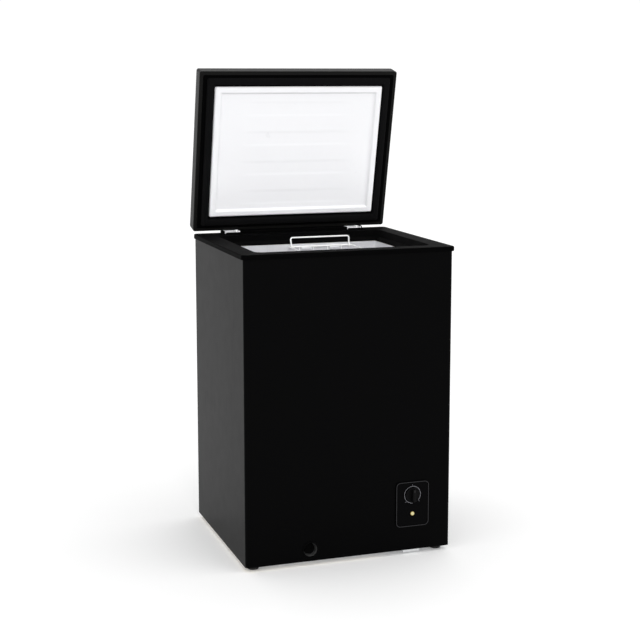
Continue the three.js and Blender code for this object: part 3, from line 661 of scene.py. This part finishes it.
def screw(name, centre, axis, body, radius=4.0):
    """A pan-head screw with a hollow in the middle of its head and a flat cross over it."""
    build = turned([(0, 0), (radius, 0), (radius, 0.5), (0.86 * radius, 1.3), (0.5 * radius, 1.8),
                    (0.16 * radius, 1.95), (0.14 * radius, 1.0), (0, 1.0)], centre, axis, 32)
    turn = Vector(axis).to_track_quat("Z", "Y").to_matrix()
    for angle in (0.0, TAU / 4):
        corners = []
        for x, y in ((1, 1), (-1, 1), (-1, -1), (1, -1)):
            corner = Vector((x * CROSS["reach"] * radius, y * CROSS["half_width"], CROSS["height"]))
            flat = Matrix.Rotation(angle, 3, "Z") @ corner
            corners.append(build.verts.new(centre + turn @ flat * MM))
        build.faces.new(corners)
    return add_piece(name, build, SCREW_STEEL, body, 40)


for side, sign in SIDES:
    build_spring(side, sign)

# ------------------------------------------------------------------ control panel

OUT = (0, -1, 0)  # forwards, out of the cabinet's front
# The control panel's middle and half sizes, its thickness, and how far its edge is raised.
PANEL = {"x": 168.4, "z": 133.0, "half_x": 45.0, "half_z": 59.0, "corner": 12.0, "depth": 2.4, "edge": 1.0}
PANEL_FACE = FRONT - GAP - PANEL["depth"]
KNOB_Z, LAMP_Z = 157.5, 108.0
PRINT = {"gap": 0.02, "height": 0.12}  # printed lines: gap behind them and how far they stand out
SCALE = {"radius": 22.0, "width": 1.0, "start": 180, "end": 492, "steps": 72}
TICKS = {"degrees": (225, 360, 495), "inner": 24.2, "outer": 27.0, "width": 1.0}
DIAL_GRIP = {"half_x": 4.4, "half_z": 17.0, "corner": 3.6}
POINTER = {"half_x": 0.6, "inner": 9.5, "outer": 16.2, "low": 14.9, "high": 15.08}
LENS_RADIUS = 5.6


def build_panel_border():
    """Satin line on the raised edge of the control panel."""
    centre = place(PANEL["x"], PANEL_FACE - (PANEL["edge"] + PRINT["gap"]), PANEL["z"])
    profile = [(0.7, 0.0), (0.8, 0.22), (2.0, 0.22), (2.1, 0.0)]
    rings = []
    for e, out in profile:
        half_x, half_z, corner = PANEL["half_x"] - e, PANEL["half_z"] - e, PANEL["corner"] - e
        rings.append(front_ring(centre, half_x, half_z, corner, out, 8))
    build = bmesh.new()
    bridge(build, rings, closed=True)
    add_piece("panel_border", build, BORDER_INK, "cabinet")


def build_dial_scale():
    """A printed arc round the dial, with its angles clockwise from 12 o'clock."""
    inner, outer = SCALE["radius"] - SCALE["width"] / 2, SCALE["radius"] + SCALE["width"] / 2
    section = ((inner, 0.0), (outer, 0.0), (outer, -PRINT["height"]), (inner, -PRINT["height"]))
    loops = []
    for k in range(SCALE["steps"] + 1):
        angle = math.radians(SCALE["start"] + (SCALE["end"] - SCALE["start"]) * k / SCALE["steps"])
        loop = []
        for r, y in section:
            x, z = PANEL["x"] + r * math.sin(angle), KNOB_Z + r * math.cos(angle)
            loop.append(place(x, PANEL_FACE - PRINT["gap"] + y, z))
        loops.append(loop)
    build = bmesh.new()
    made = bridge(build, loops)
    build.faces.new(made[0])
    build.faces.new(made[-1])
    add_piece("dial_scale", build, INK, "cabinet", 30)


def add_tick(build, angle):
    """One short printed stroke that points at the dial's middle."""
    direction = Vector((math.sin(angle), 0, math.cos(angle)))
    across = Vector((math.cos(angle), 0, -math.sin(angle)))
    inner, outer = TICKS["inner"], TICKS["outer"]
    corners = []
    for y in (0.0, -PRINT["height"]):
        for r, side in ((inner, -1), (outer, -1), (outer, 1), (inner, 1)):
            flat = direction * r + across * side * TICKS["width"] / 2
            point = place(PANEL["x"] + flat.x, PANEL_FACE - PRINT["gap"] + y, KNOB_Z + flat.z)
            corners.append(build.verts.new(point))
    for face in ((0, 1, 2, 3), (4, 5, 6, 7), (0, 1, 5, 4), (1, 2, 6, 5), (2, 3, 7, 6), (3, 0, 4, 7)):
        build.faces.new([corners[i] for i in face])


def build_dial_marks():
    ticks = bmesh.new()
    for degrees in TICKS["degrees"]:
        add_tick(ticks, math.radians(degrees))
    add_piece("dial_marks", ticks, INK, "cabinet")


def build_knob():
    """Round dial with a fluted rim, a straight grip across it, a pointer line and its shaft."""
    centre = place(PANEL["x"], PANEL_FACE - GAP, KNOB_Z)
    dial = turned([(0, 0), (19.0, 0), (19.4, 0.5), (19.4, 3.2), (19.0, 4.2), (18.2, 4.9), (17.2, 5.1),
                   (16.4, 4.7), (0, 4.6)], centre, OUT, 192, (48, 0.45, 0.2))
    dial_piece = add_piece("dial_knob", dial, KNOB_PLASTIC, "thermostat_knob", 30)
    rings = []
    for out, grow in ((0.0, 0.6), (9.0, 0.4), (12.4, 0.0), (14.2, -0.7), (15.0, -2.0)):
        rings.append(front_ring(centre, DIAL_GRIP["half_x"] + grow, DIAL_GRIP["half_z"] + grow,
                                DIAL_GRIP["corner"] + min(grow, 0), out))
    grip = bmesh.new()
    grip.faces.new(bridge(grip, rings)[-1])
    add_piece("dial_grip", grip, KNOB_PLASTIC, "thermostat_knob", 50)
    half, inner, outer = POINTER["half_x"], POINTER["inner"], POINTER["outer"]
    bar = [(-half, inner), (half, inner), (half, outer), (-half, outer)]
    levels = (POINTER["low"], POINTER["high"])
    loops = [[centre + Vector((x, -height, z)) * MM for x, z in bar] for height in levels]
    pointer = bmesh.new()
    made = bridge(pointer, loops)
    pointer.faces.new(made[0])
    pointer.faces.new(made[1])
    add_piece("dial_pointer", pointer, BORDER_INK, "thermostat_knob")
    shaft = turned([(0, 0.2), (3.5, 0.2), (3.5, -16.0), (0, -16.0)], centre, OUT, 24)
    add_piece("dial_shaft", shaft, KNOB_PLASTIC, "thermostat_knob")
    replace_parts(dial_piece, "control_knob")


def build_lamp():
    """Domed amber lens in a low black ring."""
    centre = place(PANEL["x"], PANEL_FACE, LAMP_Z)
    amber = lamp_plastic("amber_lens", centre, LENS_RADIUS * MM)
    lens = turned([(0, -6), (5.5, -6), (5.5, 0.0), (5.2, 0.7), (4.2, 1.3), (2.4, 1.75), (0, 1.9)],
                  centre, OUT, 48)
    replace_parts(add_piece("lamp_lens", lens, amber, "cabinet", 40), "indicator_lens")
    rim = turned([(5.7, 0.0), (7.4, 0.0), (7.2, 0.6), (6.6, 0.9), (6.0, 0.7), (5.7, 0.0)], centre, OUT, 48)
    add_piece("lamp_rim", rim, PANEL_PLASTIC, "cabinet")


build_panel_border()
build_dial_scale()
build_dial_marks()
build_knob()
build_lamp()

# ------------------------------------------------------------------ drain, feet, gland and screws

DRAIN_X, DRAIN_Z = -105.0, 42.0
DRAIN_DEPTH = 15.0  # how far the cap's seat lies behind the cabinet's front
PULL = {"half_x": 9.2, "half_z": 1.7, "corner": 1.1}  # the bar on the drain's stopper


def build_drain():
    """A cup let into the front, with a lip round it, and a stopper at its bottom with a bar to pull."""
    mouth = place(DRAIN_X, FRONT - GAP, DRAIN_Z)
    seat = mouth + Vector((0, DRAIN_DEPTH * MM, 0))
    lip = turned([(17.4, 0.0), (20.6, 0.0), (21.0, 0.4), (20.9, 1.0), (20.2, 1.5), (18.6, 1.7), (17.8, 1.5),
                  (17.4, 0.9), (17.4, 0.0)], mouth, OUT, 96)
    add_piece("drain_lip", lip, ENAMEL, "cabinet")
    cup = turned([(11.0, -16.4), (17.6, -16.4), (18.4, -15.6), (18.4, -0.1), (17.2, -0.1), (17.2, -14.2),
                  (16.4, -15.0), (11.0, -15.0), (11.0, -16.4)], mouth, OUT, 96)
    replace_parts(add_piece("drain_cup", cup, CUP_PLASTIC, "cabinet"), "drain_escutcheon")
    cap = turned([(0, -14), (6.4, -14), (6.7, -13.4), (6.9, -9), (7.4, -8.4), (6.9, -7.8), (7.2, 0.3),
                  (13.9, 0.3), (14.4, 0.8), (14.4, 3.4), (13.9, 4.9), (12.6, 5.8), (11.2, 5.9), (10.4, 5.4),
                  (0, 5.2)], seat, OUT, 96, (24, 0.35, 0.9))
    stopper = add_piece("drain_stopper", cap, BREAKER_PLASTIC, "drain_cap", 35)
    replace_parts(stopper, "drain_cap")
    rings = []
    for out, grow in ((4.8, 0.2), (5.5, 0.0), (5.95, -0.5)):
        rings.append(front_ring(seat, PULL["half_x"] + grow, PULL["half_z"] + grow, PULL["corner"], out, 4))
    pull = bmesh.new()
    pull.faces.new(bridge(pull, rings)[-1])
    add_piece("drain_pull", pull, BREAKER_PLASTIC, "drain_cap", 40)


def build_feet():
    """Levelling feet with a knurled edge, as tall as their CAD nodes."""
    for number in range(1, 5):
        low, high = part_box(f"foot_{number}")
        centre = Vector(((low.x + high.x) / 2, (low.y + high.y) / 2, low.z))
        height = (high.z - low.z) / MM
        profile = [(0, 0), (12.0, 0), (13.6, 0.5), (14.4, 1.6), (14.5, 4.0), (14.9, 4.4), (15.0, 5.0),
                   (15.0, height - 0.5), (14.6, height), (0, height)]
        foot = add_piece(f"levelling_foot_{number}", turned(profile, centre, (0, 0, 1), 96, (30, 0.4, 4.2)),
                         FOOT_PLASTIC, "cabinet", 30)
        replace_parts(foot, f"foot_{number}")


BACK = (0, 1, 0)
BRACKET_FACE = REAR + 2.32  # just off the outer face of the hinge brackets
HINGE_SCREWS = [(dx, z) for z in (742, 698) for dx in (-13, 13)]
VENT_SCREW = {"inset_x": 7, "inset_z": 8, "radius": 3.4, "gap": 0.02}


def build_screws():
    for side, sign in SIDES:
        for number, (dx, z) in enumerate(HINGE_SCREWS, 1):
            centre = place(sign * HINGE_X + dx, BRACKET_FACE, z)
            screw(f"hinge_screw_{side}_{number}", centre, BACK, "cabinet")
    low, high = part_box("rear_vent_cover")
    inset_x, inset_z = VENT_SCREW["inset_x"] * MM, VENT_SCREW["inset_z"] * MM
    y = high.y + VENT_SCREW["gap"] * MM
    columns = (low.x + inset_x, high.x - inset_x)
    rows = (low.z + inset_z, (low.z + high.z) / 2, high.z - inset_z)
    for number, (x, z) in enumerate([(x, z) for x in columns for z in rows], 1):
        screw(f"vent_screw_{number}", Vector((x, y, z)), BACK, "cabinet", VENT_SCREW["radius"])


build_drain()
build_feet()
build_screws()

# ------------------------------------------------------------------ basket

BASKET = {"x0": -41.0, "x1": 135.0, "y0": -167.0, "y1": 129.0, "rim": 758.0, "bottom": 572.0, "taper": 16.0}
MID_X = (BASKET["x0"] + BASKET["x1"]) / 2
MID_Y = (BASKET["y0"] + BASKET["y1"]) / 2
WIRE = {"rim": 2.0, "rib": 1.6, "eye": 1.5}  # radius of each wire
RIB_X = (-60, -20, 20, 60)  # places of the ribs that run front to back, from the basket's middle
RIB_Y = (-105, -63, -21, 21, 63, 105)  # places of the ribs that run side to side


def basket_hoop(inset, z, corner):
    """A closed level loop of wire, inset from the basket's rim."""
    x0, x1 = BASKET["x0"] + inset, BASKET["x1"] - inset
    y0, y1 = BASKET["y0"] + inset, BASKET["y1"] - inset
    return rounded_path([place(x0, y0, z), place(x1, y0, z), place(x1, y1, z), place(x0, y1, z)],
                        corner, 8, cyclic=True)


def build_basket():
    """Tapered wire basket: a thick rim, two hoops, and ribs that run down one side and up the other."""
    taper, top, low = BASKET["taper"], BASKET["rim"], BASKET["bottom"]
    rim_hoop = basket_hoop(0, top, 5)
    rim = wire_piece("basket_rim", [rim_hoop], WIRE["rim"], WIRE_WHITE, "basket", True)
    hoops = [basket_hoop(taper / 2 + 0.2, (top + low) / 2, 12), basket_hoop(taper + 2.2, low + 2.2, 12)]
    wire_piece("basket_hoops", hoops, WIRE["rib"], WIRE_WHITE, "basket", True)
    ribs = []
    for dx in RIB_X:
        x = MID_X + dx
        ribs.append([place(x, BASKET["y1"], top), place(x, BASKET["y1"] - taper, low),
                     place(x, BASKET["y0"] + taper, low), place(x, BASKET["y0"], top)])
    for dy in RIB_Y:
        y = MID_Y + dy
        ribs.append([place(BASKET["x0"], y, top), place(BASKET["x0"] + taper, y, low),
                     place(BASKET["x1"] - taper, y, low), place(BASKET["x1"], y, top)])
    runs = [rounded_path(rib, 10) for rib in ribs]
    wire_piece("basket_ribs", runs, WIRE["rib"], WIRE_WHITE, "basket")
    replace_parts(rim, "basket_frame")


GRIP = {"half": 82.0, "flare": 1.5, "rise": 25.0, "eye": 4.4, "corner": 7, "eye_steps": 24}
LEAN = {"rear": -11, "front": -166}  # degrees from upright; the front handle hangs inside the basket


def build_handle(name, y, lean):
    """A wire carrying handle with a bent eye at each end, leaning by an angle from upright."""
    centre = place(MID_X, y, BASKET["rim"])
    turn = Matrix.Rotation(math.radians(lean), 3, "X")

    def at(x, z, out=0.0):
        return centre + turn @ (Vector((x, out, z)) * MM)

    half, flare, rise, eye = (GRIP[key] for key in ("half", "flare", "rise", "eye"))
    foot = eye - 1
    bends = [at(-half, foot), at(-half - flare, rise), at(half + flare, rise), at(half, foot)]
    loop = rounded_path(bends, GRIP["corner"])
    angles = [TAU * i / GRIP["eye_steps"] for i in range(GRIP["eye_steps"])]
    eyes = [[at(x, eye * math.cos(angle), eye * math.sin(angle)) for angle in angles] for x in (-half, half)]
    grip = wire_piece(name, [loop], WIRE["rim"], WIRE_WHITE, "basket_" + name)
    wire_piece(name + "_eyes", eyes, WIRE["eye"], WIRE_WHITE, "basket_" + name, True)
    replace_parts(grip, "basket_" + name)


build_basket()
build_handle("handle_rear", BASKET["y1"], LEAN["rear"])
build_handle("handle_front", BASKET["y0"], LEAN["front"])

# ------------------------------------------------------------------ camera, floor and light


# Fitted to the photo's edges: lens in mm, place in mm, and angles in radians.
CAMERA = {"lens": 78.51, "shift": -0.0594, "place": (-1169.66, -3416.19, 1220.4), "down": 0.148648,
          "right": 0.330306}


def build_camera():
    camera = bpy.data.cameras.new("camera")
    camera.sensor_width = 36.0
    camera.lens = CAMERA["lens"]
    camera.shift_y = CAMERA["shift"]
    camera.clip_end = 50.0
    rig = bpy.data.objects.new("camera", camera)
    rig.location = place(*CAMERA["place"])
    rig.rotation_euler = (math.pi / 2 - CAMERA["down"], 0.0, -CAMERA["right"])
    scene.collection.objects.link(rig)
    scene.camera = rig


def build_floor():
    mesh = bpy.data.meshes.new("floor")
    reach = 30.0
    mesh.from_pydata([(-reach, -reach, 0), (reach, -reach, 0), (reach, reach, 0), (-reach, reach, 0)], [],
                     [(0, 1, 2, 3)])
    floor = bpy.data.objects.new("floor", mesh)
    scene.collection.objects.link(floor)
    s = Shader("pale_floor", (0.97, 0.97, 0.97), 0.7, specular=0.1)
    s.set("Emission Color", (1.0, 1.0, 1.0, 1.0))
    s.set("Emission Strength", 0.10)
    s.shade(s.noise(1.3, 2), 0.004)
    mesh.materials.append(s.done())


def area_light(name, location, target, size, power, spread=180):
    """A soft rectangular light aimed at target: places and size in metres, power in watts."""
    lamp = bpy.data.lights.new(name, "AREA")
    lamp.shape = "RECTANGLE"
    lamp.size, lamp.size_y = size
    lamp.energy = power
    lamp.spread = math.radians(spread)
    holder = bpy.data.objects.new(name, lamp)
    holder.location = location
    holder.rotation_euler = (Vector(target) - Vector(location)).to_track_quat("-Z", "Y").to_euler()
    scene.collection.objects.link(holder)


def build_world():
    world = bpy.data.worlds.new("studio")
    world.use_nodes = True
    world.node_tree.nodes["Background"].inputs["Color"].default_value = (1.0, 1.0, 1.0, 1.0)
    world.node_tree.nodes["Background"].inputs["Strength"].default_value = 1.03
    scene.world = world


build_camera()
build_floor()
build_world()
area_light("top_softbox", (0.7, -2.2, 3.0), (0, 0, 0.85), (2.4, 1.8), 8)
area_light("side_fill", (2.6, -1.8, 1.5), (0.1, 0.2, 1.0), (1.5, 1.5), 6)
area_light("tub_fill", (-0.4, -2.2, 1.9), (0, 0.2, 0.68), (0.5, 0.5), 0.45, 22)
scene.view_settings.view_transform = "Standard"
